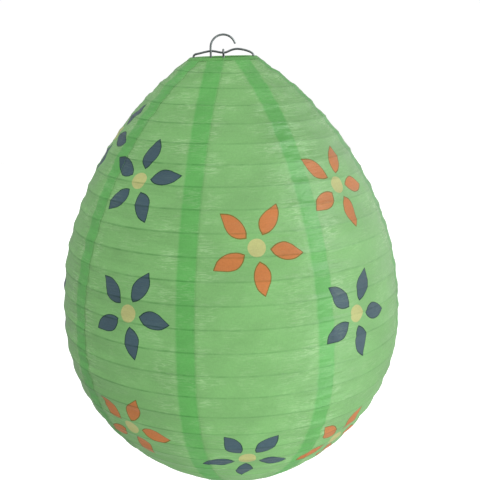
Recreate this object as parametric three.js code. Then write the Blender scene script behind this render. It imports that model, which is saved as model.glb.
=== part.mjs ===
import * as THREE from 'three';

// An egg-shaped hanging paper lantern. Eight paper gores are glued to one long helical rib wire between a
// small top ring and a wider bottom ring. A sprung wire spreader stands inside and pushes the rings apart, and
// a loose wire hook holds the spreader's bow. Lengths are millimetres, +Z is up, and the egg's axis is Z.
// The origin is the hook's inner crown, where the lantern hangs.

// The egg: heights are above the bottom ring's plane.
const SHADE_HEIGHT = 376;
const BELLY_HEIGHT = 155;
const BELLY_RADIUS = 151;
const CROWN_REACH = 234; // height from the belly at which the crown's curve would close
const CROWN_SQUARENESS = 2;
const CROWN_POWER = 0.74;
const BASE_REACH = 166; // depth from the belly at which the base's curve would close
const BASE_SQUARENESS = 2.2;
const BASE_POWER = 0.65;

// Paper gores, each lapped over the next one. They are cut and glued by hand, so they are not quite even, and
// the seams drift a little round the egg on their way down.
const SEAMS = [-13.1, 29.6, 76.5, 122.2, 168, 213.7, 259.5, 305.2].map(THREE.MathUtils.degToRad);
const SEAM_DRIFT = THREE.MathUtils.degToRad(-2.5);
const PAPER = 0.5;
const GAP = 0.3;
const LAP_WIDTH = 15;
const LAP_STEP = 2;
const GORE_ROWS = 15;
const GORE_COLUMNS = 4;

// Wires.
const HEAVY_WIRE_RADIUS = 0.9;
const RIB_WIRE_RADIUS = 0.6;
const RIB_PITCH = 18.13; // along the paper, from one turn to the next
const RIB_INSET = 2.8; // the rib's centreline below the paper's outer face
const RIB_STEPS_PER_TURN = 16;
const RIB_END_MARGIN = 8;
const RING_SEGMENTS = 36;

// Hems: paper folded round each ring, open towards the egg's axis.
const HEM_INNER = HEAVY_WIRE_RADIUS + GAP;
const HEM_OUTER = HEM_INNER + PAPER;
const HEM_HALF_WRAP = THREE.MathUtils.degToRad(110);
const HEM_FACETS = 4;

// Spreader: a bow over the top ring, a leg down each side and a toe under the bottom ring. The bow was bent by
// hand, so its right shoulder stands higher than its left. Points are (distance from the middle, height above
// the top ring's plane).
const BOW_DIP = 4.4;
const BOW_RIGHT = [[2, 4.55], [7.5, 6.6], [12, 7.2], [20, 5.6]];
const BOW_LEFT = [[2, 4.55], [7.5, 5.7], [11, 6], [20, 4.4]];
const NOTCH_CLEARANCE = 0.35;
const LEG_INSET = 3; // the legs stand this far inside the notches
const TOE_REACH = 4.5;

// Hook: a crown above the bow, a shank beside it and an eye round the bow's dip.
const HOOK_CROWN_RADIUS = 10.7;
const HOOK_CROWN_CENTRE = 8.8; // above the top ring's plane
const HOOK_TIP_ANGLE = THREE.MathUtils.degToRad(19);
const HOOK_SHANK_Y = -4;
const HOOK_SHANK_FOOT = -1; // where the shank ends and the lower bend starts, from the top ring's plane
const HOOK_BEND_END = THREE.MathUtils.degToRad(342);
const HOOK_EYE_RADIUS = 2.35;
const HOOK_EYE_START = THREE.MathUtils.degToRad(-46);
const HOOK_EYE_END = THREE.MathUtils.degToRad(212);

const COLOURS = {
  paper: { color: 0x74b96a, roughness: 0.9, metalness: 0 },
  hem: { color: 0x5ea858, roughness: 0.9, metalness: 0 },
  rib: { color: 0x9a9d98, roughness: 0.5, metalness: 0.8 },
  steel: { color: 0x8b9492, roughness: 0.35, metalness: 0.9 },
};

/** The paper's outer face in section, from the top ring to the bottom ring, as (radius, height). */
class Meridian extends THREE.Curve {
  getPoint(t) {
    const z = SHADE_HEIGHT * (1 - t);
    const above = z > BELLY_HEIGHT;
    const share = above ? (z - BELLY_HEIGHT) / CROWN_REACH : (BELLY_HEIGHT - z) / BASE_REACH;
    const squareness = above ? CROWN_SQUARENESS : BASE_SQUARENESS;
    const power = above ? CROWN_POWER : BASE_POWER;
    return new THREE.Vector2(BELLY_RADIUS * (1 - share ** squareness) ** power, z);
  }
}

const meridian = new Meridian();
meridian.arcLengthDivisions = 2000;
const MERIDIAN_LENGTH = meridian.getLength();

/** The point at a distance down the paper from the top ring, lifted along the paper's outward normal. */
function onPaper(distance, lift) {
  const share = distance / MERIDIAN_LENGTH;
  const point = meridian.getPointAt(share);
  const tangent = meridian.getTangentAt(share);
  return new THREE.Vector2(point.x - tangent.y * lift, point.y + tangent.x * lift);
}

/** Turns a (radius, height) point round the axis. Angle 0 faces -Y and grows towards +X. */
function spin(point, angle) {
  return new THREE.Vector3(point.x * Math.sin(angle), -point.x * Math.cos(angle), point.y);
}

/** A closed solid between an outer and an inner grid of points, rows running down and columns to the right. */
function sheetBetween(outer, inner) {
  const rows = outer.length;
  const columns = outer[0].length;
  const innerStart = rows * columns;
  const at = (row, column) => row * columns + column;
  const positions = [...outer.flat(), ...inner.flat()].flatMap((p) => p.toArray());
  const faces = [];
  const quad = (a, b, c, d) => faces.push(a, b, c, a, c, d);
  for (let row = 0; row < rows - 1; row++) {
    for (let column = 0; column < columns - 1; column++) {
      const corners = [at(row, column), at(row + 1, column), at(row + 1, column + 1), at(row, column + 1)];
      quad(...corners);
      quad(...corners.map((corner) => corner + innerStart).reverse());
    }
  }
  const rim = [];
  for (let row = 0; row < rows - 1; row++) rim.push(at(row, 0));
  for (let column = 0; column < columns - 1; column++) rim.push(at(rows - 1, column));
  for (let row = rows - 1; row > 0; row--) rim.push(at(row, columns - 1));
  for (let column = columns - 1; column > 0; column--) rim.push(at(0, column));
  rim.forEach((from, index) => {
    const to = rim[(index + 1) % rim.length];
    quad(to, from, from + innerStart, to + innerStart);
  });
  const geometry = new THREE.BufferGeometry();
  geometry.setAttribute('position', new THREE.Float32BufferAttribute(positions, 3));
  geometry.setIndex(faces);
  return geometry;
}

/** Angle from the gore's left seam, and lift off the paper, of each column where the egg has a radius. */
function goreColumns(width, radius) {
  const halfLap = LAP_WIDTH / 2 / radius;
  const stepTop = width - halfLap - GAP / radius;
  const stepFoot = stepTop - LAP_STEP / radius;
  const columns = [];
  for (let column = 0; column <= GORE_COLUMNS; column++) {
    const angle = THREE.MathUtils.lerp(-halfLap, stepFoot, column / GORE_COLUMNS);
    columns.push({ angle, lift: 0 });
  }
  for (const angle of [stepTop, width, width + halfLap]) {
    columns.push({ angle, lift: PAPER + GAP });
  }
  return columns;
}

/** One gore, from hem to hem, whose right edge laps over the next gore's left edge. */
function goreGeometry(seam, nextSeam) {
  const outer = [];
  const inner = [];
  const margin = HEM_OUTER - HEAVY_WIRE_RADIUS + 2 * GAP;
  for (let row = 0; row <= GORE_ROWS; row++) {
    const distance = THREE.MathUtils.lerp(margin, MERIDIAN_LENGTH - margin, row / GORE_ROWS);
    const columns = goreColumns(nextSeam - seam, onPaper(distance, 0).x);
    const left = seam + SEAM_DRIFT * (distance / MERIDIAN_LENGTH - 0.5);
    const place = (sink) =>
      columns.map(({ angle, lift }) => spin(onPaper(distance, lift - sink), left + angle));
    outer.push(place(0));
    inner.push(place(PAPER));
  }
  return sheetBetween(outer, inner);
}

/** A helix inside the paper, evenly pitched along the paper's own length. */
class RibHelix extends THREE.Curve {
  constructor() {
    super();
    this.turns = (MERIDIAN_LENGTH - 2 * RIB_END_MARGIN) / RIB_PITCH;
  }

  getPoint(t) {
    const distance = RIB_END_MARGIN + t * this.turns * RIB_PITCH;
    const angle = SEAMS[0] + (2 * Math.PI * distance) / RIB_PITCH;
    return spin(onPaper(distance, -RIB_INSET), angle);
  }

  getUtoTmapping(u) {
    return u;
  }
}

/** A smooth wire centreline whose steps follow its points, so close points give fine steps. */
class WirePath extends THREE.CatmullRomCurve3 {
  getUtoTmapping(u) {
    return u;
  }
}

/** A round wire along a centreline. */
function wireGeometry(path, radius, sides, steps) {
  const section = new THREE.Shape();
  for (let side = 0; side < sides; side++) {
    const angle = (2 * Math.PI * side) / sides;
    const x = radius * Math.cos(angle);
    const y = radius * Math.sin(angle);
    if (side === 0) section.moveTo(x, y);
    else section.lineTo(x, y);
  }
  section.closePath();
  return new THREE.ExtrudeGeometry(section, { steps, extrudePath: path, bevelEnabled: false });
}

function ribGeometry() {
  const helix = new RibHelix();
  return wireGeometry(helix, RIB_WIRE_RADIUS, 3, Math.round(helix.turns * RIB_STEPS_PER_TURN));
}

/** Paper folded round a ring: a C section spun round the axis. */
function hemGeometry(ringRadius) {
  const arc = (radius, from, to) => {
    const points = [];
    for (let facet = 0; facet <= HEM_FACETS; facet++) {
      const angle = THREE.MathUtils.lerp(from, to, facet / HEM_FACETS);
      points.push(new THREE.Vector2(ringRadius + radius * Math.cos(angle), radius * Math.sin(angle)));
    }
    return points;
  };
  const outside = arc(HEM_OUTER, -HEM_HALF_WRAP, HEM_HALF_WRAP);
  const inside = arc(HEM_INNER, HEM_HALF_WRAP, -HEM_HALF_WRAP);
  const profile = [...outside, ...inside, outside[0]];
  return new THREE.LatheGeometry(profile, RING_SEGMENTS).rotateX(Math.PI / 2);
}

/** One half of the spreader, from beside the bow's dip down to the end of the toe. Side 1 is the right. */
function spreaderHalf(bow, side, topRing, bottomRing) {
  const clear = 2 * HEAVY_WIRE_RADIUS + NOTCH_CLEARANCE;
  const topX = topRing - clear;
  const bottomX = bottomRing - clear;
  const topZ = SHADE_HEIGHT;
  const points = [
    ...bow.map(([x, rise]) => [x, topZ + rise]),
    [topX - 1, topZ + 3],
    [topX, topZ],
    [topX + 0.6, topZ - 2.6],
    [topX + 1.6, topZ - 4.6],
    [topX, topZ - 7.5],
    [topX - 0.5, topZ - 12],
    [bottomX - LEG_INSET, 14],
    [bottomX - 1.2, 8],
    [bottomX, 4.5],
    [bottomX - 1.3, 1],
    [bottomX - 0.6, -2.6],
    [bottomX + 1.5, -4.2],
    [bottomX + TOE_REACH, -4.2],
  ];
  return points.map(([x, z]) => new THREE.Vector3(side * x, 0, z));
}

function spreaderGeometry(topRing, bottomRing) {
  const right = spreaderHalf(BOW_RIGHT, 1, topRing, bottomRing);
  const left = spreaderHalf(BOW_LEFT, -1, topRing, bottomRing);
  const dip = new THREE.Vector3(0, 0, SHADE_HEIGHT + BOW_DIP);
  const points = [...left.reverse(), dip, ...right];
  const path = new WirePath(points, false, 'centripetal');
  return wireGeometry(path, HEAVY_WIRE_RADIUS, 6, (points.length - 1) * 2);
}

/** The hook's centreline: tip, crown, shank, lower bend, then the eye round the bow. */
function hookPath() {
  const points = [];
  const crownZ = SHADE_HEIGHT + HOOK_CROWN_CENTRE;
  const crownSteps = 10;
  for (let step = 0; step <= crownSteps; step++) {
    const share = step / crownSteps;
    const angle = THREE.MathUtils.lerp(HOOK_TIP_ANGLE, Math.PI, share);
    const x = HOOK_CROWN_RADIUS * Math.cos(angle);
    const lean = THREE.MathUtils.smoothstep(angle, Math.PI / 2, Math.PI);
    points.push(new THREE.Vector3(x, HOOK_SHANK_Y * lean, crownZ + HOOK_CROWN_RADIUS * Math.sin(angle)));
  }
  const footZ = SHADE_HEIGHT + HOOK_SHANK_FOOT;
  points.push(new THREE.Vector3(-HOOK_CROWN_RADIUS, HOOK_SHANK_Y, (crownZ + footZ) / 2));
  const bendRadius = HOOK_CROWN_RADIUS / 2;
  const bendSteps = 6;
  for (let step = 0; step <= bendSteps; step++) {
    const angle = THREE.MathUtils.lerp(Math.PI, HOOK_BEND_END, step / bendSteps);
    const x = -bendRadius + bendRadius * Math.cos(angle);
    points.push(new THREE.Vector3(x, HOOK_SHANK_Y, footZ + bendRadius * Math.sin(angle)));
  }
  const eyeZ = SHADE_HEIGHT + BOW_DIP;
  const eyeSteps = 9;
  for (let step = 0; step <= eyeSteps; step++) {
    const angle = THREE.MathUtils.lerp(HOOK_EYE_START, HOOK_EYE_END, step / eyeSteps);
    const y = HOOK_EYE_RADIUS * Math.cos(angle);
    points.push(new THREE.Vector3(0, y, eyeZ + HOOK_EYE_RADIUS * Math.sin(angle)));
  }
  return new WirePath(points, false, 'centripetal');
}

function hookGeometry() {
  const path = hookPath();
  return wireGeometry(path, HEAVY_WIRE_RADIUS, 8, (path.points.length - 1) * 2);
}

function mesh(name, geometry, finish) {
  const made = new THREE.Mesh(geometry, new THREE.MeshStandardMaterial(finish));
  made.name = name;
  return made;
}

function ring(name, radius, height) {
  const geometry = new THREE.TorusGeometry(radius, HEAVY_WIRE_RADIUS, 6, RING_SEGMENTS);
  const made = mesh(name, geometry, COLOURS.steel);
  made.position.z = height;
  return made;
}

function hem(name, ringRadius, height) {
  const made = mesh(name, hemGeometry(ringRadius), COLOURS.hem);
  made.position.z = height;
  return made;
}

const topRingRadius = onPaper(0, 0).x - HEAVY_WIRE_RADIUS;
const bottomRingRadius = onPaper(MERIDIAN_LENGTH, 0).x - HEAVY_WIRE_RADIUS;

const lantern = new THREE.Group();
lantern.position.z = -(SHADE_HEIGHT + HOOK_CROWN_CENTRE + HOOK_CROWN_RADIUS - HEAVY_WIRE_RADIUS);
lantern.add(mesh('hanging_hook', hookGeometry(), COLOURS.steel));
lantern.add(mesh('spreader_wire', spreaderGeometry(topRingRadius, bottomRingRadius), COLOURS.steel));
lantern.add(ring('top_ring', topRingRadius, SHADE_HEIGHT));
lantern.add(hem('top_hem', topRingRadius, SHADE_HEIGHT));
lantern.add(ring('bottom_ring', bottomRingRadius, 0));
lantern.add(hem('bottom_hem', bottomRingRadius, 0));
lantern.add(mesh('rib_wire', ribGeometry(), COLOURS.rib));
SEAMS.forEach((seam, index) => {
  const nextSeam = SEAMS[index + 1] ?? SEAMS[0] + 2 * Math.PI;
  lantern.add(mesh(`gore_${index + 1}`, goreGeometry(seam, nextSeam), COLOURS.paper));
});

const part = new THREE.Group();
part.add(lantern);

export default part;
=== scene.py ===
import math

import bpy
import numpy as np
from mathutils import Matrix, Vector
from mathutils.geometry import delaunay_2d_cdt, tessellate_polygon


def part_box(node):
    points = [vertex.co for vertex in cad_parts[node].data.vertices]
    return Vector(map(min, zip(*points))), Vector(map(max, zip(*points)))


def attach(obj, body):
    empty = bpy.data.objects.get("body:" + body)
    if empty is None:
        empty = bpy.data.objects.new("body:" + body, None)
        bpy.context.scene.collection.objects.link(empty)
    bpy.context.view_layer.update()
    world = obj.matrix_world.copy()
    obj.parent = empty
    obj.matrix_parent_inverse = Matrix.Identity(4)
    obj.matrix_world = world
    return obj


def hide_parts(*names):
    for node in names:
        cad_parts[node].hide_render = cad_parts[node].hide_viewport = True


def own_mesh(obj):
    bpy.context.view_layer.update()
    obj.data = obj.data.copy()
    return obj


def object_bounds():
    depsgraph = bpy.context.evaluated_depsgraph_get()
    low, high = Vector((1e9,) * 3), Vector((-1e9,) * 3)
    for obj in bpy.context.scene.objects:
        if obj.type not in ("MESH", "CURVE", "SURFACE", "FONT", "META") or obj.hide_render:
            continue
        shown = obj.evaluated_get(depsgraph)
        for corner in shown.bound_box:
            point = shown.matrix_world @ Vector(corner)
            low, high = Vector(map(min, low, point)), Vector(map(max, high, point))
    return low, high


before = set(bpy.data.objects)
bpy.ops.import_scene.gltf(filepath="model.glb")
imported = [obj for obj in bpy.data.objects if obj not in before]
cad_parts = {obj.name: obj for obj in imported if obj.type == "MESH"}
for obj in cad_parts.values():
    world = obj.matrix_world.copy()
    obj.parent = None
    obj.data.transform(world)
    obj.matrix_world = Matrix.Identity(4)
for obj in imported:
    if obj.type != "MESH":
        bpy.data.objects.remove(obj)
CAD_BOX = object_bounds()
MM = 0.001

# The egg. Heights are above the bottom ring's plane, and distances run down the paper from the top ring.
TOP_RING_LOW, TOP_RING_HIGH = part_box("top_ring")
BOTTOM_RING_LOW, BOTTOM_RING_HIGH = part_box("bottom_ring")
TOP_Z = (TOP_RING_LOW.z + TOP_RING_HIGH.z) / 2
BOTTOM_Z = (BOTTOM_RING_LOW.z + BOTTOM_RING_HIGH.z) / 2
HEAVY_WIRE_RADIUS = 0.9 * MM
TOP_RING_RADIUS = TOP_RING_HIGH.x - HEAVY_WIRE_RADIUS
BOTTOM_RING_RADIUS = BOTTOM_RING_HIGH.x - HEAVY_WIRE_RADIUS
SHADE_HEIGHT = TOP_Z - BOTTOM_Z
BELLY_HEIGHT = 155 * MM
BELLY_RADIUS = 151 * MM
CROWN_REACH = 234 * MM
CROWN_SQUARENESS = 2
CROWN_POWER = 0.74
BASE_REACH = 166 * MM
BASE_SQUARENESS = 2.2
BASE_POWER = 0.65
MERIDIAN_POINTS = 4000

# Paper gores. Angle 0 faces the camera and grows to the right. The seams are not quite even, and they drift
# a little round the egg on their way down.
SEAMS = np.radians([-13.1, 29.6, 76.5, 122.2, 168, 213.7, 259.5, 305.2])
SEAM_DRIFT = math.radians(-2.5)
# Strength of the painted shadow over the rib on each gore, darkest on the front-left gores, which the lights
# leave in shade.
RIB_SHADOW_BY_GORE = [0.26, 0.2, 0.28, 0.36, 0.3, 0.24, 0.38, 0.44]  # how dark the rib shows through each gore
FULL_TURN = 2 * math.pi
PAPER = 0.16 * MM
HALF_LAP = 7.5 * MM
LAP_STEP = 2 * MM
LAP_LIFT = PAPER + 0.06 * MM
GORE_MARGIN = 1.0 * MM
FLAT_SCALE = BELLY_RADIUS / MM  # flat millimetres to a radian, at the belly
CUT_KEEPS_FACES = 3  # the cut's faces are whole, and end at the printed outlines
CUT_TOLERANCE = 1e-5

# The helical rib wire, inside the paper.
RIB_PITCH = 18.13 * MM
RIB_RADIUS = 0.38 * MM
RIB_INSET = PAPER + RIB_RADIUS + 0.04 * MM
RIB_END_MARGIN = 8 * MM

# The grid of points on a gore. Its rows run along the rib wire, except in the stretches above and below it.
ROWS_PER_PITCH = 14
ROW_CROWDING = 0.8
ROWS_ABOVE_RIB = 14
ROWS_BELOW_RIB = 22
MIDDLE_COLUMNS = 28

# Relief of the paper. Each noise has so many cells round the egg, a cell's height down it, and a seed. The
# slack's cells are as high as a turn of the rib. The heights of the other noises are in millimetres.
HOLLOW_DEPTH = 1.05 * MM
SLACK = (24, 3)
SLACK_SHARE = 0.22
PUCKER = (72, 2.6 * MM, 5)
PLAIN_PUCKER = 0.15
SEAM_PUCKER = 0.4
PUCKER_REACH = 17 * MM
COCKLE = (40, 6 * MM, 7)
COCKLE_HEIGHT = 0.4
SWAY = (16, 40 * MM, 11)
SWAY_HEIGHT = 0.35
LAP_STIFFNESS = 0.3
CALM_END = 14 * MM
NOISE_ROWS = 512

# Printed flowers.
PETAL_COUNT = 5
PETAL_FOOT = 10.2 * MM
PETAL_LENGTH = 27.4 * MM
PETAL_FIRST_TURN = 65
DISC_RADIUS = 7.0 * MM
DISC_CORNERS = 36
PRINT_RADIUS = 40 * MM
OUTLINE_WIDTH = 0.75 * MM
OUTLINE_SHARES = np.array([3.2, 2])  # widths of the line that a petal loses from its length and breadth

# A petal's two sides from foot to tip, as shares of its length: along, and out to the side.
PETAL_CLOCKWISE_SIDE = [(0.12, 0.13), (0.30, 0.225), (0.50, 0.262), (0.76, 0.215), (0.92, 0.105)]
PETAL_OTHER_SIDE = [(0.88, 0.045), (0.76, 0.115), (0.62, 0.195), (0.38, 0.25), (0.15, 0.16)]
PETAL_TIP = (1, -0.03)

# Flowers: angle in degrees and height in metres of the centre, ink, and turn in degrees.
FLOWERS = [
    (-37.0, 0.2871, "blue", 18),
    (-32.0, 0.1896, "blue", 0),
    (-38.2, 0.0856, "orange", 0),
    (9.3, 0.2406, "orange", -2.5),
    (4.8, 0.0624, "blue", -14),
    (48.0, 0.2772, "orange", 0),
    (42.0, 0.1792, "blue", 0),
    (45.0, 0.0600, "orange", 0),
    (97.0, 0.2450, "blue", 12),
    (101.0, 0.1250, "orange", -8),
    (139.0, 0.2900, "blue", 4),
    (146.0, 0.1860, "orange", 15),
    (136.0, 0.0700, "blue", -10),
    (188.0, 0.2400, "orange", 8),
    (189.0, 0.1050, "blue", 0),
    (231.0, 0.2800, "orange", -12),
    (234.0, 0.1900, "blue", 6),
    (224.0, 0.0750, "orange", 18),
    (-79.5, 0.3165, "blue", 0),
    (-87.0, 0.1720, "blue", -29),
    (-100.0, 0.0900, "orange", 10),
]

# Hems: a tail outside the gores, a half turn over the ring's wire, and a tail inside the gores.
HEM_GAP = 0.05 * MM
HEM_OUTER_TAIL = 2.6 * MM
HEM_INNER_TAIL = 3.2 * MM
HEM_OUTER_LIFT = 0.2 * MM
HEM_INNER_LIFT = -0.36 * MM
HEM_STEPS = 240
OUTER_TAIL_STEPS = 6
WRAP_STEPS = 12
INNER_TAIL_STEPS = 6
HEM_UV_LENGTH = 0.2
HEM_SEAM_DISTANCE = 0.05  # far enough from any seam or rib for plain paper
HEM_EDGE_WAVE = (40, 0.35 * MM, 23)  # cells round the ring, height and seed
HEM_FLUTES = (96, 0.07 * MM, 29)

# The spreader, in millimetres. The bow was bent by hand, and its points are (distance from the middle, height
# over the top ring). Those of the notch and the foot are offsets from where they clear the two rings' bores.
BOW_DIP = 4.4
BOW_RIGHT = [(2, 4.55), (7.5, 6.6), (12, 7.2), (20, 5.6)]
BOW_LEFT = [(2, 4.55), (7.5, 5.7), (11, 6), (20, 4.4)]
TOP_NOTCH = [(-1, 3), (0, 0), (0.6, -2.6), (1.6, -4.6), (0, -7.5), (-0.5, -12)]
FOOT_AND_TOE = [(-3, 14), (-1.2, 8), (0, 4.5), (-1.3, 1), (-0.6, -2.6), (1.5, -4.2), (4.5, -4.2)]
NOTCH_CLEARANCE = 0.35

# The hook, over the top ring's plane.
HOOK_CROWN_RADIUS = 10.7 * MM
HOOK_CROWN_CENTRE = 8.8 * MM
HOOK_TIP_ANGLE = 19
HOOK_SHANK_Y = -4 * MM
HOOK_SHANK_FOOT = -1 * MM
HOOK_BEND_END = 342
HOOK_EYE_RADIUS = 2.35 * MM
HOOK_EYE_ANGLES = (-46, 212)

# Facets.
SHARP_ANGLE = math.radians(55)
HEAVY_WIRE_SIDES = 14
HOOK_SIDES = 16
RING_STEPS = 180
RIB_SIDES = 8
RIB_STEPS_PER_TURN = 90
PETAL_STEPS = 5
SPREADER_STEPS = 8
HOOK_STEPS = 6

# Stage, lights and camera.
CAMERA_AIM = Vector((9.5, 0, -179.8)) * MM
CAMERA_DISTANCE = 787 * MM
CAMERA_ELEVATION = math.radians(13.51)
CAMERA_ROLL = math.radians(-1.7)
CAMERA_LENS = 65.47
FLOOR_DROP = 1.2
FLOOR_HALF_SIZE = 12
BACKDROP_RADIUS = 11
AMBIENT_LEVEL = 0.66
AMBIENT_SLANT = (0.09, -0.05, 0.04)  # how much stronger the ambient light is towards +X, +Y and +Z
SUN_POWER = 1.85
SUN_WIDTH = math.radians(50)
SUN_DIRECTION = Vector((0.1, 0.6, -0.74))
# Area lights: name, place, size, power, and whether the light is only seen as sheen.
AREA_LIGHTS = [
    ("softbox", (1.34, -0.5, 0.6), 1.2, 26, True),
    ("rim_softbox", (1.3, 0.8, 0.1), 1.6, 8, True),
    ("low_softbox", (1.3, -0.6, -0.9), 1.1, 13, True),
    ("low_fill", (0.95, -0.85, -1.4), 0.9, 25, False),
]


def smooth(share):
    """A soft step from 0 to 1."""
    share = np.clip(share, 0, 1)
    return share * share * (3 - 2 * share)


def lattice_noise(x, y, columns, seed):
    """Smooth noise from -1 to 1 that repeats every so many columns in x."""
    rows = NOISE_ROWS
    table = np.random.default_rng(seed).uniform(-1, 1, (columns, rows))
    column = np.floor(x).astype(int)
    row = np.floor(y).astype(int)
    across = smooth(x - column)
    along = smooth(y - row)

    def corner(right, down):
        return table[(column + right) % columns, (row + down) % rows]

    upper = corner(0, 0) * (1 - across) + corner(1, 0) * across
    lower = corner(0, 1) * (1 - across) + corner(1, 1) * across
    return upper * (1 - along) + lower * along


class Meridian:
    """The paper's outer face in section, by distance down the paper from the top ring."""

    def __init__(self):
        height = np.linspace(SHADE_HEIGHT, 0, MERIDIAN_POINTS)
        above = height > BELLY_HEIGHT
        crown_share = np.where(above, (height - BELLY_HEIGHT) / CROWN_REACH, 0)
        base_share = np.where(above, 0, (BELLY_HEIGHT - height) / BASE_REACH)
        crown = (1 - crown_share**CROWN_SQUARENESS) ** CROWN_POWER
        base = (1 - base_share**BASE_SQUARENESS) ** BASE_POWER
        self.height = height
        self.radius = BELLY_RADIUS * crown * base
        steps = np.hypot(np.diff(self.radius), np.diff(height))
        self.distance = np.concatenate([[0], np.cumsum(steps)])
        self.length = self.distance[-1]
        self.slope_r = np.gradient(self.radius, self.distance)
        self.slope_z = np.gradient(height, self.distance)

    def radius_at(self, distance):
        return np.interp(distance, self.distance, self.radius)

    def distance_at(self, height):
        return np.interp(-height, -self.height, self.distance)

    def lifted(self, distance, lift):
        """(radius, z) of points at a distance down the paper, lifted along its outward normal."""
        radius = self.radius_at(distance)
        height = np.interp(distance, self.distance, self.height)
        slope_r = np.interp(distance, self.distance, self.slope_r)
        slope_z = np.interp(distance, self.distance, self.slope_z)
        return radius - slope_z * lift, BOTTOM_Z + height + slope_r * lift


MERIDIAN = Meridian()


def spin(radius, z, angle):
    """Points at a radius and height, turned round the egg's axis."""
    return np.stack([radius * np.sin(angle), -radius * np.cos(angle), z + 0 * angle], axis=-1)


def drift(distance):
    """How far round the egg the seams, and all that is laid out between them, have drifted."""
    return SEAM_DRIFT * (distance / MERIDIAN.length - 0.5)


def on_paper(angle, distance, lift):
    """Points on the egg, lifted along its outward normal."""
    radius, z = MERIDIAN.lifted(distance, lift)
    return spin(radius, z, angle + drift(distance))


def rib_turns(angle):
    """Turns of the rib wire from the first seam to an angle."""
    return (angle - SEAMS[0]) / FULL_TURN


def gore_seams(number):
    """The angles of a gore's left and right seams."""
    seams = [*SEAMS, SEAMS[0] + FULL_TURN]
    return seams[number - 1], seams[number]


def relief(angle, distance, seam_distance):
    """How far the paper stands off the smooth egg: it hollows between the ribs and puckers at the seams."""
    turns = rib_turns(angle)
    rib_count = distance / RIB_PITCH - turns
    phase = rib_count % 1

    def around(cells, cell_height, seed):
        return lattice_noise(cells * turns, distance / cell_height, cells, seed)

    slack_cells, slack_seed = SLACK
    looseness = lattice_noise(slack_cells * turns, np.floor(rib_count) + 0.5, slack_cells, slack_seed)
    slack = 1 + SLACK_SHARE * looseness
    stiff = 1 - LAP_STIFFNESS * smooth(1.6 - np.abs(seam_distance) / HALF_LAP)
    ends = smooth(distance / CALM_END) * smooth((MERIDIAN.length - distance) / CALM_END)
    hollow = 4 * phase * (1 - phase)
    sag = -HOLLOW_DEPTH * hollow * slack * stiff * ends
    near_seam = np.exp(-((seam_distance / PUCKER_REACH) ** 2))
    wrinkles = (PLAIN_PUCKER + SEAM_PUCKER * near_seam) * around(*PUCKER) + COCKLE_HEIGHT * around(*COCKLE)
    return sag + ends * MM * (wrinkles * np.sqrt(hollow) + SWAY_HEIGHT * around(*SWAY))


# Meshes


def add_object(name, mesh):
    made = bpy.data.objects.new(name, mesh)
    bpy.context.scene.collection.objects.link(made)
    return made


def make_mesh(name, points, faces, uv=None, **point_values):
    """A smooth-shaded mesh with a UV map in metres and a float attribute for each named value."""
    mesh = bpy.data.meshes.new(name)
    mesh.from_pydata(points.tolist(), [], faces)
    mesh.polygons.foreach_set("use_smooth", [True] * len(mesh.polygons))
    for key, values in point_values.items():
        attribute = mesh.attributes.new(key, "FLOAT", "POINT")
        attribute.data.foreach_set("value", np.asarray(values, np.float32))
    if uv is not None:
        corners = np.empty(len(mesh.loops), np.int32)
        mesh.loops.foreach_get("vertex_index", corners)
        layer = mesh.uv_layers.new(name="paper_metres")
        layer.data.foreach_set("uv", uv[corners].astype(np.float32).ravel())
    mesh.set_sharp_from_angle(angle=SHARP_ANGLE)
    mesh.update()
    return add_object(name, mesh)


def tube(name, path, radius, sides, closed=False):
    """A round wire swept along a line of points, with domed ends where it is open."""
    path = np.asarray(path, float)
    count = len(path)
    if closed:
        tangents = np.roll(path, -1, axis=0) - np.roll(path, 1, axis=0)
    else:
        tangents = np.gradient(path, axis=0)
    tangents /= np.linalg.norm(tangents, axis=1)[:, None]
    side = np.cross(tangents[0], (0.31, 0.17, 0.94))  # any direction that no wire starts along
    rings = []
    for place, tangent in zip(path, tangents):
        side = side - tangent * (side @ tangent)
        side = side / np.linalg.norm(side)
        rings.append((place, tangent, side, np.cross(tangent, side)))
    scales = [(0, 1)] * count
    if not closed:
        dome = [(math.sin(a), math.cos(a)) for a in np.radians([70, 45, 20])]
        rings = [rings[0]] * 3 + rings + [rings[-1]] * 3
        scales = [(-push, size) for push, size in dome] + scales
        scales = scales + [(push, size) for push, size in reversed(dome)]
    turn = FULL_TURN * np.arange(sides) / sides
    points = []
    for (place, tangent, side, other), (push, size) in zip(rings, scales):
        centre = place + tangent * push * radius
        circle = np.outer(np.cos(turn), side) + np.outer(np.sin(turn), other)
        points.append(centre + radius * size * circle)
    points = np.concatenate(points)
    faces = []
    last = len(rings) if closed else len(rings) - 1
    for ring in range(last):
        after = (ring + 1) % len(rings)
        for step in range(sides):
            ahead = (step + 1) % sides
            here, there = ring * sides, after * sides
            faces.append((here + step, here + ahead, there + ahead, there + step))
    if not closed:
        faces.append(tuple(reversed(range(sides))))
        faces.append(tuple(range((len(rings) - 1) * sides, len(rings) * sides)))
    return make_mesh(name, points, faces)


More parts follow.
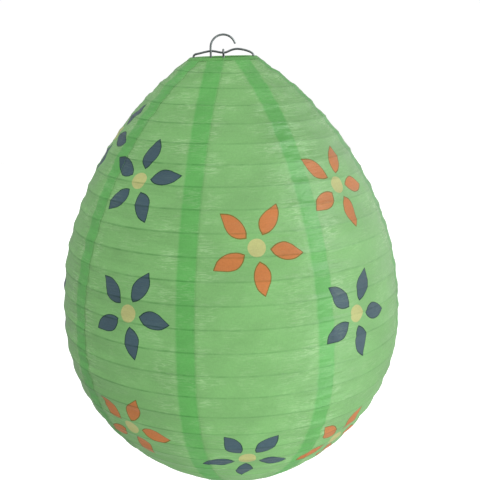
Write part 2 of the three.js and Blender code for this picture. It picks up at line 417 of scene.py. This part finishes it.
def spline(points, steps):
    """A centripetal Catmull-Rom curve through the points, with so many steps to each stretch."""
    points = np.asarray(points, float)
    points = np.vstack([2 * points[0] - points[1], points, 2 * points[-1] - points[-2]])
    line = []
    for start in range(len(points) - 3):
        p0, p1, p2, p3 = points[start : start + 4]
        t1 = np.linalg.norm(p1 - p0) ** 0.5
        t2 = t1 + np.linalg.norm(p2 - p1) ** 0.5
        t3 = t2 + np.linalg.norm(p3 - p2) ** 0.5
        for t in np.linspace(t1, t2, steps, endpoint=False):
            a1 = (t1 - t) / t1 * p0 + t / t1 * p1
            a2 = (t2 - t) / (t2 - t1) * p1 + (t - t1) / (t2 - t1) * p2
            a3 = (t3 - t) / (t3 - t2) * p2 + (t - t2) / (t3 - t2) * p3
            b1 = (t2 - t) / t2 * a1 + t / t2 * a2
            b2 = (t3 - t) / (t3 - t1) * a2 + (t - t1) / (t3 - t1) * a3
            line.append((t2 - t) / (t2 - t1) * b1 + (t - t1) / (t2 - t1) * b2)
    line.append(points[-2])
    return np.array(line)


# Materials


class Shader:
    """A material's node tree, with a short call for each kind of node."""

    def __init__(self, name):
        self.material = bpy.data.materials.new(name)
        self.material.use_nodes = True
        self.tree = self.material.node_tree
        self.tree.nodes.clear()

    def add(self, kind, **settings):
        made = self.tree.nodes.new("ShaderNode" + kind)
        for key, value in settings.items():
            setattr(made, key, value)
        return made

    def put(self, socket, value):
        if isinstance(value, bpy.types.NodeSocket):
            self.tree.links.new(value, socket)
        else:
            socket.default_value = value

    def noise(self, vector, scale, detail=2.0):
        """Noise from 0 to 1 with its own scale along each axis, in steps a metre."""
        stretch = self.add("Mapping")
        self.put(stretch.inputs["Vector"], vector)
        self.put(stretch.inputs["Scale"], scale)
        made = self.add("TexNoise")
        self.put(made.inputs["Vector"], stretch.outputs["Vector"])
        self.put(made.inputs["Scale"], 1.0)
        self.put(made.inputs["Detail"], detail)
        return made.outputs["Fac"]

    def math(self, operation, first, second=0.0):
        made = self.add("Math", operation=operation)
        self.put(made.inputs[0], first)
        self.put(made.inputs[1], second)
        return made.outputs[0]

    def fade(self, value, low, high, at_low=0.0, at_high=1.0):
        """A soft step from one level to another as a value goes from low to high."""
        made = self.add("MapRange", interpolation_type="SMOOTHSTEP")
        for socket, number in zip(made.inputs, (value, low, high, at_low, at_high)):
            self.put(socket, number)
        return made.outputs[0]

    def mix(self, share, first, second, blend_type="MIX"):
        """A mix of two colours. A Mix node's colour sockets are inputs 6 and 7 and output 2."""
        made = self.add("Mix", data_type="RGBA", blend_type=blend_type)
        self.put(made.inputs["Factor"], share)
        self.put(made.inputs[6], first)
        self.put(made.inputs[7], second)
        return made.outputs[2]

    def value(self, name):
        """One of the mesh's named point values."""
        return self.add("Attribute", attribute_name=name).outputs["Fac"]

    def bump(self, height, depth):
        made = self.add("Bump")
        self.put(made.inputs["Strength"], 1.0)
        self.put(made.inputs["Distance"], depth)
        self.put(made.inputs["Height"], height)
        return made.outputs["Normal"]


def colour(red, green, blue):
    """A linear colour with alpha from sRGB levels, 0 to 255."""
    levels = [level / 255 for level in (red, green, blue)]
    linear = [v / 12.92 if v <= 0.04045 else ((v + 0.055) / 1.055) ** 2.4 for v in levels]
    return (*linear, 1.0)


PAPER_GREEN = colour(126, 181, 111)
SEAM_GREEN = colour(98, 174, 90)
# Painted shadow of the rib wire seen through the paper, partly its real glue line.
RIB_SHADOW = (0.05, 0.32, 0.1, 1.0)  # multiplies the paper's colour over the rib
# The colour of the painted highlights on the creases' ridges.
CREASE_HIGHLIGHT_GREEN = colour(176, 214, 160)
INKS = {
    "blue": (colour(70, 93, 103), colour(60, 83, 93)),
    "blue_edge": (colour(40, 72, 60), colour(34, 62, 52)),
    "orange": (colour(196, 124, 70), colour(184, 112, 60)),
    "orange_edge": (colour(126, 110, 50), colour(116, 100, 44)),
    "pollen": (colour(188, 190, 127), colour(174, 178, 115)),
}


# The paper's noises: cells a metre along each axis of its UV map, and octaves of detail.
PAPER_NOISES = {
    "fibre": ((420, 1500, 1), 3.0),
    "cross_fibre": ((1300, 380, 1), 3.0),
    "cloud": ((26, 34, 1), 3.0),
    "patch": ((38, 60, 1), 2.0),
    "pleats": ((32, 270, 1), 4.0),
    "crumple": ((150, 230, 1), 5.0),
    "crinkle": ((70, 520, 1), 3.0),
    "wobble": ((90, 300, 1), 2.0),
}
CREASE_REACH = 36 * MM  # from a seam to where the creases are at their faintest
RIB_LINE = (0.3 * MM, 1.0 * MM)  # from the rib's middle to where its line starts to fade, and ends
PAPER_BUMP = 1.1 * MM
TRANSLUCENCE = 0.25


def paper_material(name, plain, deep, crease_highlight, gloss):
    """Thin waxed tissue: fibres, creases along the seams with painted highlights on their ridges, painted
    shadow lines over the ribs and a darker lap.
    """
    shader = Shader(name)
    uv = shader.add("UVMap", uv_map="paper_metres").outputs["UV"]
    seam = shader.value("seam_distance")
    noises = {key: shader.noise(uv, *settings) for key, settings in PAPER_NOISES.items()}

    def times(*factors):
        product = factors[0]
        for factor in factors[1:]:
            product = shader.math("MULTIPLY", product, factor)
        return product

    # Painted highlights on the ridges of the creases, standing in for sheen on the wax.
    near_seam = shader.fade(seam, HALF_LAP, CREASE_REACH, 1.0, 0.35)
    beside_lap = shader.fade(seam, HALF_LAP - 2 * MM, HALF_LAP + 4 * MM, 0.35, 1.0)
    patch = shader.fade(noises["patch"], 0.42, 0.62)
    highlight_ridge = shader.math("ABSOLUTE", shader.math("SUBTRACT", noises["crinkle"], 0.5))
    highlight_ridge = shader.fade(highlight_ridge, 0.0, 0.07, 1.0, 0.0)
    highlight_ridge = times(highlight_ridge, patch, near_seam, beside_lap)

    # Colour.
    lap = shader.fade(seam, HALF_LAP - 1.6 * MM, HALF_LAP + 1.4 * MM, 1.0, 0.0)
    mottle = shader.fade(noises["cloud"], 0.25, 0.75, 0.93, 1.07)
    fibres = shader.math("ADD", noises["fibre"], noises["cross_fibre"])
    grain = shader.fade(fibres, 0.6, 1.4, 0.94, 1.06)
    # A painted shadow line over each rib wire, partly its real glue line; each gore's strength of it is
    # painted shade, darkest on the front left.
    rib_line = shader.fade(shader.value("rib_distance"), *RIB_LINE, 1.0, 0.0)
    wobble = shader.fade(noises["wobble"], 0.3, 0.7, 0.4, 1.0)
    rib_line = times(rib_line, wobble, shader.value("glue"))
    level = times(mottle, grain)
    grey = shader.add("CombineColor")
    for socket in grey.inputs[:3]:
        shader.put(socket, level)
    paint = shader.mix(lap, plain, deep)
    # Painted highlights mixed in along the crease ridges.
    paint = shader.mix(times(highlight_ridge, crease_highlight), paint, CREASE_HIGHLIGHT_GREEN)
    paint = shader.mix(1.0, paint, grey.outputs[0], "MULTIPLY")
    paint = shader.mix(rib_line, paint, RIB_SHADOW, "MULTIPLY")

    # Small relief.
    folds = shader.math("ADD", noises["pleats"], times(noises["crinkle"], 0.5))
    height = times(folds, near_seam, beside_lap)
    height = shader.math("ADD", height, times(noises["crumple"], 0.45))
    height = shader.math("ADD", height, times(noises["fibre"], 0.06))
    normal = shader.bump(height, PAPER_BUMP)

    surface = shader.add("BsdfPrincipled")
    shader.put(surface.inputs["Base Color"], paint)
    shader.put(surface.inputs["Roughness"], shader.fade(noises["cloud"], 0.2, 0.8, 0.36, 0.46))
    shader.put(surface.inputs["Specular IOR Level"], gloss)
    shader.put(surface.inputs["Normal"], normal)
    glow = shader.add("BsdfTranslucent")
    shader.put(glow.inputs["Color"], paint)
    shader.put(glow.inputs["Normal"], normal)
    both = shader.add("MixShader")
    shader.put(both.inputs[0], TRANSLUCENCE)
    shader.put(both.inputs[1], surface.outputs[0])
    shader.put(both.inputs[2], glow.outputs[0])
    output = shader.add("OutputMaterial")
    shader.put(output.inputs["Surface"], both.outputs[0])
    return shader.material


def wire_material(name, bright, dull, roughness):
    """Zinc-coated wire: cloudy zinc with a fine uneven grain and small dull spots."""
    shader = Shader(name)
    place = shader.add("TexCoord").outputs["Object"]
    spangle = shader.noise(place, (260, 260, 260), 2.0)
    spots = shader.noise(place, (1900, 1900, 1900), 3.0)
    share = shader.fade(shader.math("ADD", spangle, shader.math("MULTIPLY", spots, 0.3)), 0.35, 0.95)
    surface = shader.add("BsdfPrincipled")
    shader.put(surface.inputs["Base Color"], shader.mix(share, bright, dull))
    shader.put(surface.inputs["Metallic"], 0.75)
    rough = shader.fade(spots, 0.3, 0.7, roughness - 0.08, roughness + 0.1)
    shader.put(surface.inputs["Roughness"], rough)
    shader.put(surface.inputs["Normal"], shader.bump(spots, 0.02 * MM))
    output = shader.add("OutputMaterial")
    shader.put(output.inputs["Surface"], surface.outputs[0])
    return shader.material


def printed_papers():
    """The plain tissue and the tissue under each ink, and each ink's place in that list."""
    papers = [paper_material("tissue_paper", PAPER_GREEN, SEAM_GREEN, crease_highlight=0.5, gloss=0.38)]
    numbers = {}
    for ink, (plain, deep) in INKS.items():
        numbers[ink] = len(papers)
        name = f"tissue_{ink}_print"
        papers.append(paper_material(name, plain, deep, crease_highlight=0.08, gloss=0.22))
    return papers, numbers


PAPER_MATERIALS, INK_NUMBER = printed_papers()
GALVANISED = wire_material("galvanised_wire", colour(128, 136, 134), colour(98, 106, 106), 0.4)
RIB_STEEL = wire_material("rib_steel", colour(150, 154, 152), colour(104, 108, 106), 0.45)
HEM_GREEN = colour(104, 170, 92)
HEM_LAP_GREEN = colour(92, 158, 82)
HEM_PAPER = paper_material("hem_paper", HEM_GREEN, HEM_LAP_GREEN, crease_highlight=0.2, gloss=0.22)


# Flowers


def petal_outline():
    """A petal on its own axis, foot at 0 and tip at 1: a leaf whose tip bends clockwise."""
    clockwise = [(0, 0), *[(along, -side) for along, side in PETAL_CLOCKWISE_SIDE], PETAL_TIP]
    other = [PETAL_TIP, *PETAL_OTHER_SIDE, (0, 0)]
    return np.vstack([spline(clockwise, PETAL_STEPS)[:-1], spline(other, PETAL_STEPS)[:-1]])


def shrink(leaf, width):
    """A petal's outline drawn in by a width all round, for the printed line round it."""
    low, high = leaf.min(axis=0), leaf.max(axis=0)
    middle = (low + high) / 2
    return middle + (leaf - middle) * (1 - OUTLINE_SHARES * width / (high - low))


def flower_shapes(ink, turn):
    """The closed outlines of one flower round its centre, x to the right and y up, and their inks."""
    shapes = []
    leaf = petal_outline() * PETAL_LENGTH + np.array([PETAL_FOOT, 0])
    inner_leaf = shrink(leaf, OUTLINE_WIDTH)
    for petal in range(PETAL_COUNT):
        angle = math.radians(PETAL_FIRST_TURN + turn + 360 * petal / PETAL_COUNT)
        along = np.array([math.cos(angle), math.sin(angle)])
        up = np.array([-along[1], along[0]])
        shapes.append((leaf[:, :1] * along + leaf[:, 1:] * up, f"{ink}_edge"))
        shapes.append((inner_leaf[:, :1] * along + inner_leaf[:, 1:] * up, ink))
    around = np.linspace(0, FULL_TURN, DISC_CORNERS, endpoint=False)
    disc = np.stack([np.cos(around), np.sin(around)], axis=1)
    shapes.append((disc * DISC_RADIUS, "pollen"))
    return shapes


def inside(points, outline):
    """Which points lie inside a closed outline, by counting the edges to their right."""
    x = points[:, 0][:, None]
    y = points[:, 1][:, None]
    x1, y1 = outline[:, 0], outline[:, 1]
    x2, y2 = np.roll(x1, -1), np.roll(y1, -1)
    spans = (y1 > y) != (y2 > y)
    rise = np.where(y2 == y1, 1, y2 - y1)
    crossing = (x2 - x1) * (y - y1) / rise + x1
    return (np.sum(spans & (x < crossing), axis=1) % 2) == 1


# Gores


def flat(angle, distance):
    """Angle round the egg and distance down it, as a flat plan in millimetres at the belly."""
    return np.stack([angle * FLAT_SCALE, distance / MM], axis=-1)


def gore_columns(width, radius):
    """Angles from the left seam of a gore's columns of points, where the egg has that radius."""
    lap = HALF_LAP / radius
    step = LAP_STEP / radius
    left = [-lap, -lap / 2, 0, lap / 2, lap]
    right = width + np.array([-lap - step, -lap - step / 2, -lap, -lap / 2, 0, lap / 2, lap])
    middle = np.linspace(lap, right[0], MIDDLE_COLUMNS)[1:-1]
    return np.array([*left, *middle, *right])


def gore_rows(middle_turn):
    """The rows that run along the rib wire, in turns of the wire, a little closer together at the wire."""
    across = np.linspace(-1, 1, ROWS_PER_PITCH, endpoint=False)
    shares = (1 + np.sign(across) * np.abs(across) ** ROW_CROWDING) / 2
    first = 1 if middle_turn < 0.5 else 0
    last = int((MERIDIAN.length - RIB_END_MARGIN) / RIB_PITCH) - 1
    rows = [turn + share for turn in range(first, last) for share in shares]
    return np.array([*rows, last])


def gore_grid(number):
    """The angle and distance of every grid point of a gore, rows by columns."""
    left, right = gore_seams(number)
    top = GORE_MARGIN
    bottom = MERIDIAN.length - GORE_MARGIN
    middle_turn = rib_turns((left + right) / 2)
    middle = (gore_rows(middle_turn) + middle_turn) * RIB_PITCH
    above = np.linspace(top, middle[0], ROWS_ABOVE_RIB, endpoint=False)
    below = np.linspace(middle[-1], bottom, ROWS_BELOW_RIB)[1:]
    nominal = np.concatenate([above, middle, below])
    angles = left + np.array([gore_columns(right - left, MERIDIAN.radius_at(d)) for d in nominal])
    advance = (rib_turns(angles) - middle_turn) * RIB_PITCH
    weight = np.minimum(
        np.clip((nominal - top) / (middle[0] - top), 0, 1),
        np.clip((bottom - nominal) / (bottom - middle[-1]), 0, 1),
    )
    return angles, nominal[:, None] + advance * weight[:, None]


def flowers_on(left, right):
    """The flowers whose print reaches a stretch of angles."""
    found = []
    for degrees, height, ink, turn in FLOWERS:
        distance = MERIDIAN.distance_at(height)
        reach = PRINT_RADIUS / MERIDIAN.radius_at(distance)
        for whole_turn in (-FULL_TURN, 0, FULL_TURN):
            angle = math.radians(degrees) + whole_turn - drift(distance)
            if left - reach < angle < right + reach:
                found.append((angle, distance, ink, turn))
    return found


def print_outlines(left, right):
    """The flat outlines of all the print on a stretch of angles, and their inks."""
    outlines = []
    for angle, distance, ink, turn in flowers_on(left, right):
        for shape, shape_ink in flower_shapes(ink, turn):
            down = distance - shape[:, 1]
            across = angle + shape[:, 0] / MERIDIAN.radius_at(down)
            outlines.append((flat(across, down), shape_ink))
    return outlines


def middle_of(corners):
    """The middle of a face's largest triangle, which is inside it even where a petal's tip cuts into it."""
    outline = [(x, y, 0) for x, y in corners]
    triangles = np.array([corners[list(triangle)] for triangle in tessellate_polygon([outline])])
    side, other = triangles[:, 1] - triangles[:, 0], triangles[:, 2] - triangles[:, 0]
    area = np.abs(side[:, 0] * other[:, 1] - side[:, 1] * other[:, 0])
    return triangles[np.argmax(area)].mean(axis=0)


def cut_gore(number):
    """The gore's flat faces, cut along the printed outlines, with each face's ink."""
    angles, distances = gore_grid(number)
    rows, columns = angles.shape
    grid = flat(angles, distances).reshape(-1, 2)
    index = np.arange(rows * columns).reshape(rows, columns)
    points = [grid]
    lines = [
        np.stack([index[:, :-1].ravel(), index[:, 1:].ravel()], axis=1),
        np.stack([index[:-1].ravel(), index[1:].ravel()], axis=1),
    ]
    start = len(grid)
    outlines = print_outlines(angles.min(), angles.max())
    for outline, _ in outlines:
        ring = start + np.arange(len(outline))
        points.append(outline)
        lines.append(np.stack([ring, np.roll(ring, -1)], axis=1))
        start += len(outline)
    points = np.concatenate(points)
    lines = np.concatenate(lines)
    places = [Vector(point) for point in points.tolist()]
    cut = delaunay_2d_cdt(places, lines.tolist(), [], CUT_KEEPS_FACES, CUT_TOLERANCE)
    spots = np.array([tuple(spot) for spot in cut[0]])
    middles = []
    for face in cut[2]:
        corners = spots[list(face)]
        plain = max(face) < len(grid)
        middles.append(corners.mean(axis=0) if plain else middle_of(corners))
    middles = np.array(middles)
    border = np.vstack(
        [grid[index[0]], grid[index[1:, -1]], grid[index[-1, -2::-1]], grid[index[-2:0:-1, 0]]]
    )
    kept = inside(middles, border)
    faces = [face for face, keep in zip(cut[2], kept) if keep]
    middles = middles[kept]
    inks = np.zeros(len(faces), int)
    for outline, ink in outlines:
        low, high = outline.min(axis=0), outline.max(axis=0)
        near = np.nonzero(np.all((middles > low) & (middles < high), axis=1))[0]
        if len(near):
            inks[near[inside(middles[near], outline)]] = INK_NUMBER[ink]
    used = sorted({corner for face in faces for corner in face})
    renumber = {old: new for new, old in enumerate(used)}
    faces = [tuple(renumber[corner] for corner in face) for face in faces]
    return spots[used], faces, inks


def rim_edges(faces):
    """The edges that only one face has, each in that face's direction."""
    seen = {}
    for face in faces:
        seen.update(dict.fromkeys(zip(face, face[1:] + face[:1])))
    return [edge for edge in seen if (edge[1], edge[0]) not in seen]


def make_gore(number):
    """One closed sheet of printed tissue from hem to hem, its right edge lapped over the next gore."""
    spots, faces, inks = cut_gore(number)
    angle = spots[:, 0] / FLAT_SCALE
    distance = spots[:, 1] * MM
    left, right = gore_seams(number)
    radius = MERIDIAN.radius_at(distance)
    from_left = (angle - left) * radius
    from_right = (right - angle) * radius
    seam_distance = np.minimum(np.abs(from_left), np.abs(from_right))
    lift = relief(angle, distance, seam_distance)
    lift += LAP_LIFT * smooth((HALF_LAP + LAP_STEP - from_right) / LAP_STEP)
    phase = (distance / RIB_PITCH - rib_turns(angle)) % 1
    rib_distance = np.minimum(phase, 1 - phase) * RIB_PITCH
    outer = on_paper(angle, distance, lift)
    inner = on_paper(angle, distance, lift - PAPER)

    count = len(spots)
    outer_faces = [tuple(reversed(face)) for face in faces]
    inner_faces = [tuple(corner + count for corner in face) for face in faces]
    rims = rim_edges(outer_faces)
    rim_faces = [(second, first, first + count, second + count) for second, first in rims]
    uv = np.stack([from_left + 0.3 * number, distance], axis=1)
    made = make_mesh(
        f"paper_gore_{number}",
        np.vstack([outer, inner]),
        outer_faces + inner_faces + rim_faces,
        uv=np.vstack([uv, uv]),
        seam_distance=np.tile(seam_distance, 2),
        rib_distance=np.tile(rib_distance, 2),
        # Each gore's strength of the painted shadow over its rib.
        glue=np.full(2 * count, RIB_SHADOW_BY_GORE[number - 1]),
    )
    for material in PAPER_MATERIALS:
        made.data.materials.append(material)
    numbers = np.concatenate([inks, inks, np.zeros(len(rim_faces), int)])
    made.data.polygons.foreach_set("material_index", numbers.astype(np.int32))
    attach(made, "lantern")
    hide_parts(f"gore_{number}")
    return made


# Hems


def hem_section(side):
    """The hem's middle line in section, (radius, z): tail outside, half turn over the ring, tail inside."""
    end = 0 if side > 0 else MERIDIAN.length
    centre = (TOP_RING_RADIUS, TOP_Z) if side > 0 else (BOTTOM_RING_RADIUS, BOTTOM_Z)
    wrap = HEAVY_WIRE_RADIUS + HEM_GAP + PAPER / 2
    radius, z = MERIDIAN.lifted(end, 1 * MM)
    base_radius, base_z = MERIDIAN.lifted(end, 0)
    normal = math.atan2(z - base_z, radius - base_radius)
    offset = math.cos(normal) * (base_radius - centre[0]) + math.sin(normal) * (base_z - centre[1])
    points = []
    for share in np.linspace(1, 0, OUTER_TAIL_STEPS, endpoint=False):
        lift = HEM_OUTER_LIFT + (wrap - offset - HEM_OUTER_LIFT) * smooth(1 - share)
        points.append(MERIDIAN.lifted(end + side * HEM_OUTER_TAIL * share, lift))
    for share in np.linspace(0, 1, WRAP_STEPS + 1):
        angle = normal + side * math.pi * share
        points.append((centre[0] + wrap * math.cos(angle), centre[1] + wrap * math.sin(angle)))
    for share in np.linspace(0, 1, INNER_TAIL_STEPS + 1)[1:]:
        lift = HEM_INNER_LIFT - (wrap + offset + HEM_INNER_LIFT) * smooth(1 - share)
        points.append(MERIDIAN.lifted(end + side * HEM_INNER_TAIL * share, lift))
    return np.array(points)


def make_hem(name, side, body, node):
    """A strip of tissue folded over a ring and glued to the gores, with a slightly uneven cut edge."""
    middle = hem_section(side)
    along = np.gradient(middle, axis=0)
    along /= np.linalg.norm(along, axis=1)[:, None]
    out = np.stack([-along[:, 1], along[:, 0]], axis=1) * -side
    lengths = np.concatenate([[0], np.cumsum(np.linalg.norm(np.diff(middle, axis=0), axis=1))])
    section_count = len(middle)
    same = np.ones(section_count)
    across_hem = np.linspace(-1, 1, section_count)
    rim = smooth(np.abs(across_hem) * 2 - 1)
    wave_cells, wave_height, wave_seed = HEM_EDGE_WAVE
    flute_cells, flute_height, flute_seed = HEM_FLUTES
    points = []
    uv = []
    for layer in (0.5, -0.5):
        for turn in np.arange(HEM_STEPS) / HEM_STEPS:
            wave = lattice_noise(np.array(wave_cells * turn), np.array(side * 3.0), wave_cells, wave_seed)
            flute = lattice_noise(flute_cells * turn * same, lengths / MM, flute_cells, flute_seed)
            stretched = middle + along * (rim * wave_height * wave * across_hem)[:, None]
            placed = stretched + out * (layer * PAPER + flute_height * rim * flute)[:, None]
            points.append(spin(placed[:, 0], placed[:, 1], FULL_TURN * turn * same))
            uv.append(np.stack([turn * HEM_UV_LENGTH * same, lengths], axis=1))
    points = np.concatenate(points)
    uv = np.concatenate(uv)
    faces = []
    half = HEM_STEPS * section_count
    for step in range(HEM_STEPS):
        here = step * section_count
        there = ((step + 1) % HEM_STEPS) * section_count
        for place in range(section_count - 1):
            quad = (here + place, there + place, there + place + 1, here + place + 1)
            faces.append(quad if side > 0 else tuple(reversed(quad)))
            back = tuple(corner + half for corner in reversed(quad))
            faces.append(back if side > 0 else tuple(reversed(back)))
        for place, flip in ((0, True), (section_count - 1, False)):
            quad = (here + place, there + place, there + place + half, here + place + half)
            faces.append(tuple(reversed(quad)) if flip == (side > 0) else quad)
    far = np.full(len(points), HEM_SEAM_DISTANCE)
    # The hem gets no painted rib shadow.
    made = make_mesh(name, points, faces, uv=uv, seam_distance=far, rib_distance=far, glue=0 * far)
    made.data.materials.append(HEM_PAPER)
    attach(made, body)
    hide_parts(node)


# Wires


def finish_wire(made, material, body, node):
    """A wire's material, body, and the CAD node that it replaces."""
    made.data.materials.append(material)
    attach(made, body)
    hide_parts(node)


def make_ring(name, radius, z, body, node):
    """A wire ring round the egg's axis."""
    angles = np.linspace(0, FULL_TURN, RING_STEPS, endpoint=False)
    path = spin(np.full(RING_STEPS, radius), z, angles)
    made = tube(name, path, HEAVY_WIRE_RADIUS, HEAVY_WIRE_SIDES, closed=True)
    finish_wire(made, GALVANISED, body, node)


def make_rib():
    """One long wire wound round the egg inside the paper, from ring to ring."""
    turns = (MERIDIAN.length - 2 * RIB_END_MARGIN) / RIB_PITCH
    along = np.linspace(0, 1, int(turns * RIB_STEPS_PER_TURN))
    distance = RIB_END_MARGIN + along * turns * RIB_PITCH
    angle = SEAMS[0] + FULL_TURN * distance / RIB_PITCH
    seams = np.append(SEAMS, SEAMS[0] + FULL_TURN)
    from_first = np.mod(angle - SEAMS[0], FULL_TURN)
    to_seam = np.min(np.abs(from_first[:, None] - (seams - SEAMS[0])), axis=1)
    lift = relief(angle, distance, to_seam * MERIDIAN.radius_at(distance))
    path = on_paper(angle, distance, lift - RIB_INSET)
    made = tube("rib_helix", path, RIB_RADIUS, RIB_SIDES)
    finish_wire(made, RIB_STEEL, "lantern", "rib_wire")
    return made


def spreader_half(bow, side):
    """From beside the bow's dip, through the top notch, down the leg, to the end of the toe."""
    clear = 2 * HEAVY_WIRE_RADIUS / MM + NOTCH_CLEARANCE
    top = TOP_RING_RADIUS / MM - clear
    low = BOTTOM_RING_RADIUS / MM - clear
    notch = [(top + x, z) for x, z in TOP_NOTCH]
    upper = [(side * x, 0, TOP_Z / MM + z) for x, z in bow + notch]
    lower = [(side * (low + x), 0, BOTTOM_Z / MM + z) for x, z in FOOT_AND_TOE]
    return np.array(upper + lower) * MM


def make_spreader():
    """The sprung wire from one toe over the bow to the other."""
    right = spreader_half(BOW_RIGHT, 1)
    left = spreader_half(BOW_LEFT, -1)[::-1]
    dip = (0, 0, TOP_Z + BOW_DIP * MM)
    path = spline(np.vstack([left, dip, right]), SPREADER_STEPS)
    made = tube("spreader", path, HEAVY_WIRE_RADIUS, HEAVY_WIRE_SIDES)
    finish_wire(made, GALVANISED, "lantern", "spreader_wire")


def hook_line():
    """The hook's centreline: tip, crown, shank, lower bend, then the eye round the bow's dip."""
    crown_z = TOP_Z + HOOK_CROWN_CENTRE
    foot_z = TOP_Z + HOOK_SHANK_FOOT
    points = []
    for angle in np.radians(np.linspace(HOOK_TIP_ANGLE, 180, 11)):
        lean = float(smooth(2 * angle / math.pi - 1))
        x = HOOK_CROWN_RADIUS * math.cos(angle)
        points.append((x, HOOK_SHANK_Y * lean, crown_z + HOOK_CROWN_RADIUS * math.sin(angle)))
    points.append((-HOOK_CROWN_RADIUS, HOOK_SHANK_Y, (crown_z + foot_z) / 2))
    bend = HOOK_CROWN_RADIUS / 2
    for angle in np.radians(np.linspace(180, HOOK_BEND_END, 7)):
        points.append((-bend + bend * math.cos(angle), HOOK_SHANK_Y, foot_z + bend * math.sin(angle)))
    eye_z = TOP_Z + BOW_DIP * MM
    for angle in np.radians(np.linspace(*HOOK_EYE_ANGLES, 10)):
        points.append((0, HOOK_EYE_RADIUS * math.cos(angle), eye_z + HOOK_EYE_RADIUS * math.sin(angle)))
    return spline(points, HOOK_STEPS)


def make_hook():
    """The loose wire hook that the lantern hangs from."""
    made = tube("hook", hook_line(), HEAVY_WIRE_RADIUS, HOOK_SIDES)
    finish_wire(made, GALVANISED, "hook", "hanging_hook")


# Stage, lights and camera


def make_camera():
    """A camera in front of the lantern, as high as its top, looking down a little and rolled slightly."""
    rise, fall = math.sin(CAMERA_ELEVATION), math.cos(CAMERA_ELEVATION)
    back = Vector((0, -fall, rise))
    right = Vector((1, 0, 0))
    up = Vector((0, rise, fall))
    turned_right = math.cos(CAMERA_ROLL) * right + math.sin(CAMERA_ROLL) * up
    turned_up = math.cos(CAMERA_ROLL) * up - math.sin(CAMERA_ROLL) * right
    data = bpy.data.cameras.new("camera")
    data.lens = CAMERA_LENS
    data.sensor_width = 36
    data.clip_start = 0.01
    data.clip_end = 100
    camera = add_object("camera", data)
    turn = Matrix((turned_right, turned_up, back)).transposed()
    camera.matrix_world = Matrix.Translation(CAMERA_AIM + back * CAMERA_DISTANCE) @ turn.to_4x4()
    bpy.context.scene.camera = camera


def stage_material(name, level, glow):
    """A matt surface with white light of its own, so that it reads as an empty studio."""
    shader = Shader(name)
    surface = shader.add("BsdfPrincipled")
    shader.put(surface.inputs["Base Color"], colour(level, level, level))
    shader.put(surface.inputs["Roughness"], 0.9)
    shader.put(surface.inputs["Emission Color"], (1, 1, 1, 1))
    shader.put(surface.inputs["Emission Strength"], glow)
    output = shader.add("OutputMaterial")
    shader.put(output.inputs["Surface"], surface.outputs[0])
    return shader.material


def make_floor():
    """A wide pale floor far below the hanging lantern."""
    size = FLOOR_HALF_SIZE
    z = CAD_BOX[0].z - FLOOR_DROP
    corners = [(-size, -size, z), (size, -size, z), (size, size, z), (-size, size, z)]
    mesh = bpy.data.meshes.new("floor")
    mesh.from_pydata(corners, [], [(0, 1, 2, 3)])
    floor = add_object("floor", mesh)
    mesh.materials.append(stage_material("floor_white", 245, 0.3))
    floor.visible_diffuse = False
    floor.visible_glossy = False


def make_backdrop():
    """A white dome round the studio that only the camera sees, so that it adds no light."""
    bpy.ops.mesh.primitive_ico_sphere_add(subdivisions=5, radius=BACKDROP_RADIUS)
    dome = bpy.context.object
    dome.name = "backdrop"
    dome.data.materials.append(stage_material("backdrop_white", 0, 1.0))
    for ray in ("diffuse", "glossy", "transmission", "volume_scatter", "shadow"):
        setattr(dome, "visible_" + ray, False)


def area_light(name, place, aim, size, power, sheen_only):
    """A round soft light that either shades the paper, or is only seen as sheen on its wax and the wires."""
    data = bpy.data.lights.new(name, "AREA")
    data.shape = "DISK"
    data.size = size
    data.energy = power
    light = add_object(name, data)
    light.location = place
    light.rotation_mode = "QUATERNION"
    light.rotation_quaternion = (aim - Vector(place)).to_track_quat("-Z", "Y")
    light.visible_diffuse = not sheen_only
    light.visible_transmission = not sheen_only
    light.visible_glossy = sheen_only


def make_ambient_light():
    """White light from all round, a little stronger on one side."""
    world = bpy.data.worlds.new("studio")
    world.use_nodes = True
    tree = world.node_tree
    place = tree.nodes.new("ShaderNodeTexCoord")
    slant = tree.nodes.new("ShaderNodeVectorMath")
    slant.operation = "DOT_PRODUCT"
    slant.inputs[1].default_value = AMBIENT_SLANT
    level = tree.nodes.new("ShaderNodeMath")
    level.inputs[1].default_value = AMBIENT_LEVEL
    tree.links.new(place.outputs["Generated"], slant.inputs[0])
    tree.links.new(slant.outputs["Value"], level.inputs[0])
    tree.links.new(level.outputs[0], tree.nodes["Background"].inputs["Strength"])
    tree.nodes["Background"].inputs["Color"].default_value = (1, 1, 1, 1)
    bpy.context.scene.world = world


def make_lights():
    """A wide soft sun for the shading, and area lights for the sheen and for the underside."""
    sun = bpy.data.lights.new("sun", "SUN")
    sun.energy = SUN_POWER
    sun.angle = SUN_WIDTH
    sun_light = add_object("sun", sun)
    sun_light.visible_glossy = False
    sun_light.rotation_mode = "QUATERNION"
    sun_light.rotation_quaternion = SUN_DIRECTION.to_track_quat("-Z", "Y")
    middle = Vector((0, 0, (TOP_Z + BOTTOM_Z) / 2))
    for name, place, size, power, sheen_only in AREA_LIGHTS:
        area_light(name, place, middle, size, power, sheen_only)


bpy.context.scene.view_settings.view_transform = "Standard"
make_camera()
make_floor()
make_backdrop()
make_ambient_light()
make_lights()
for gore_number in range(1, len(SEAMS) + 1):
    squashed = make_gore(gore_number)
    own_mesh(squashed)
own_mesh(make_rib())
make_hem("top_hem_fold", 1, "lantern", "top_hem")
make_hem("bottom_hem_fold", -1, "base", "bottom_hem")
make_ring("top_ring_wire", TOP_RING_RADIUS, TOP_Z, "lantern", "top_ring")
make_ring("bottom_ring_wire", BOTTOM_RING_RADIUS, BOTTOM_Z, "base", "bottom_ring")
make_spreader()
make_hook()
